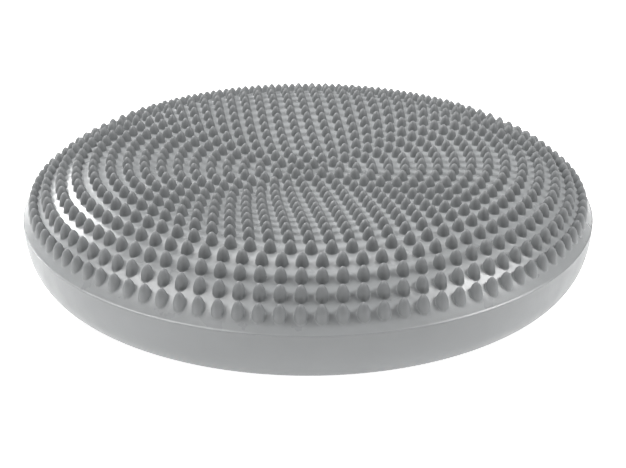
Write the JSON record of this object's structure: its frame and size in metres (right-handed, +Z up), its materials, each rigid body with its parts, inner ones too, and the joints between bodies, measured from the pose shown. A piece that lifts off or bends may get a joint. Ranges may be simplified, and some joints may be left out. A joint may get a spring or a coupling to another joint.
{
  "type": "balance dome trainer",
  "caption": "Inflatable PVC balance disc with a dished spiked upper skin on a springy lower skin and a pull-out valve plug in the rear wall.",
  "frame": {"origin": "on the floor under the centre of the disc, at the bottom centre of the bounding box", "axes": "+Z up through the middle of the disc, +Y towards the air valve, -Y towards the front"},
  "size_m": [0.33, 0.33, 0.0561],
  "materials": {
    "upper_pvc": "satin moulded soft PVC, spikes slightly duller than the smooth shoulder",
    "lower_pvc": "satin moulded soft PVC",
    "valve_pvc": "satin moulded PVC",
    "valve_rubber": "matt moulded rubber",
    "plug_pvc": "satin moulded PVC"
  },
  "bodies": {
    "base": {"lower_skin": "lower_pvc", "valve_housing": "valve_pvc", "valve_core": "valve_rubber"},
    "top": {"upper_skin": "upper_pvc"},
    "plug": {"valve_plug": "plug_pvc"}
  },
  "joints": [
    {"name": "top_wobble", "type": "hinge", "parent": "base", "child": "top", "pos_m": [0, 0, 0.027], "axis": [0, 1, 0], "range_deg": [-4, 4], "stiffness_Nm_per_rad": 60, "deforming": ["lower_skin"]},
    {"name": "plug_pull", "type": "slide", "parent": "base", "child": "plug", "axis": [0, 1, 0], "range_m": [0, 0.01]}
  ]
}
